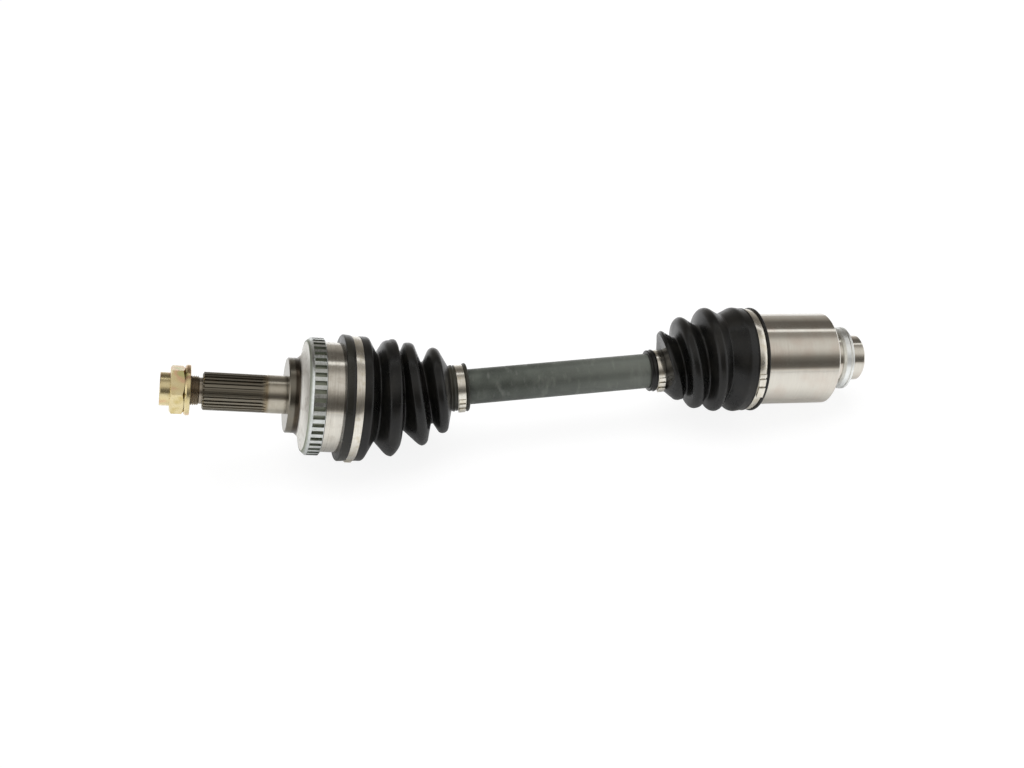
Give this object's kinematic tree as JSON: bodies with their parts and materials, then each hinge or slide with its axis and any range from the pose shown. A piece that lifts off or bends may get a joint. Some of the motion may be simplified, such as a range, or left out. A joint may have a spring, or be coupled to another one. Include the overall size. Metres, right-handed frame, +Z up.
{
  "type": "cv axle",
  "caption": "Drive axle with a ball joint at the hub end, a bar shaft and a sliding tripod joint, each under a rubber boot.",
  "frame": {"origin": "centre of the bearing face of the outer joint, on the stub axis", "axes": "+X from the hub end to the gearbox end, +Z up as the axle lies, Y is the hinge line of both bends"},
  "size_m": [0.5465, 0.0938, 0.0977],
  "materials": {
    "forged_steel": "turned and part polished",
    "zinc": "zinc plated",
    "yellow_zinc": "yellow zinc plated",
    "hardened_steel": "ground",
    "bearing_steel": "polished",
    "spring_steel": "oiled",
    "phosphate": "dark phosphate",
    "ground_steel": "ground",
    "boot_rubber": "satin",
    "stainless_band": "brushed"
  },
  "bodies": {
    "shaft": {"axle_shaft": "phosphate", "outer_inner_race": "hardened_steel", "race_circlip": "spring_steel", "tripod_spider": "hardened_steel", "needle_rollers": "bearing_steel", "needle_retainers": "spring_steel", "trunnion_circlips": "spring_steel", "spider_snap_rings": "spring_steel", "outer_boot_small_band": "stainless_band", "outer_boot_small_buckle": "stainless_band", "inner_boot_small_band": "stainless_band", "inner_boot_small_buckle": "stainless_band"},
    "outer_housing": {"outer_joint_housing": "forged_steel", "abs_tone_ring": "zinc", "outer_boot": "boot_rubber", "outer_boot_large_band": "stainless_band", "outer_boot_large_buckle": "stainless_band"},
    "ball_cage": {"outer_cage": "hardened_steel", "outer_balls": "bearing_steel"},
    "nut_washer": {"hub_nut_washer": "yellow_zinc"},
    "nut": {"hub_nut": "yellow_zinc"},
    "inner_boot": {"inner_boot": "boot_rubber"},
    "inner_housing": {"inner_joint_housing": "ground_steel", "inner_dust_ring": "zinc", "inner_boot_large_band": "stainless_band", "inner_boot_large_buckle": "stainless_band"},
    "roller_1": {"tripod_roller_1": "bearing_steel"},
    "roller_2": {"tripod_roller_2": "bearing_steel"},
    "roller_3": {"tripod_roller_3": "bearing_steel"}
  },
  "joints": [
    {"name": "outer_articulation", "type": "hinge", "parent": "shaft", "child": "outer_housing", "pos_m": [0.04312, 0, -0.00873], "axis": [0, 1, 0], "range_deg": [-50, 30], "deforming": ["outer_boot"]},
    {"name": "cage_tilt", "type": "hinge", "parent": "shaft", "child": "ball_cage", "pos_m": [0.04312, 0, -0.00873], "axis": [0, 1, 0], "range_deg": [-25, 15]},
    {"name": "inner_articulation", "type": "hinge", "parent": "shaft", "child": "inner_boot", "pos_m": [0.39301, 0, -0.01759], "axis": [0, 1, 0], "range_deg": [-21.9, 12.1], "deforming": ["inner_boot"]},
    {"name": "plunge", "type": "slide", "parent": "inner_boot", "child": "inner_housing", "axis": [0.9939, 0, -0.1106], "range_m": [-0.004, 0.015], "deforming": ["inner_boot"]},
    {"name": "roller_1_spin", "type": "hinge", "parent": "shaft", "child": "roller_1", "pos_m": [0.39356, 0, 0.0039], "axis": [0.0253, 0, 0.9997], "range_deg": [-20, 60]},
    {"name": "roller_2_spin", "type": "hinge", "parent": "shaft", "child": "roller_2", "pos_m": [0.39274, -0.01862, -0.02834], "axis": [-0.0127, -0.866, -0.4998], "range_deg": [-20, 60]},
    {"name": "roller_3_spin", "type": "hinge", "parent": "shaft", "child": "roller_3", "pos_m": [0.39274, 0.01862, -0.02834], "axis": [-0.0127, 0.866, -0.4998], "range_deg": [-20, 60]},
    {"name": "nut_travel", "type": "slide", "parent": "outer_housing", "child": "nut_washer", "axis": [-0.9801, 0, 0.1985], "range_m": [-0.003, 0.003]},
    {"name": "nut_turn", "type": "hinge", "parent": "nut_washer", "child": "nut", "pos_m": [-0.07135, 0, 0.01445], "axis": [-0.9801, 0, 0.1985], "range_deg": [-722, 722]}
  ],
  "couplings": [
    {"joint": "cage_tilt", "follows": "outer_articulation", "ratio": 0.5},
    {"joint": "roller_1_spin", "follows": "plunge", "rad_per_m": 64.516},
    {"joint": "roller_2_spin", "follows": "plunge", "rad_per_m": 64.516},
    {"joint": "roller_3_spin", "follows": "plunge", "rad_per_m": 64.516},
    {"joint": "nut_turn", "follows": "nut_travel", "rad_per_m": 4188.8}
  ]
}
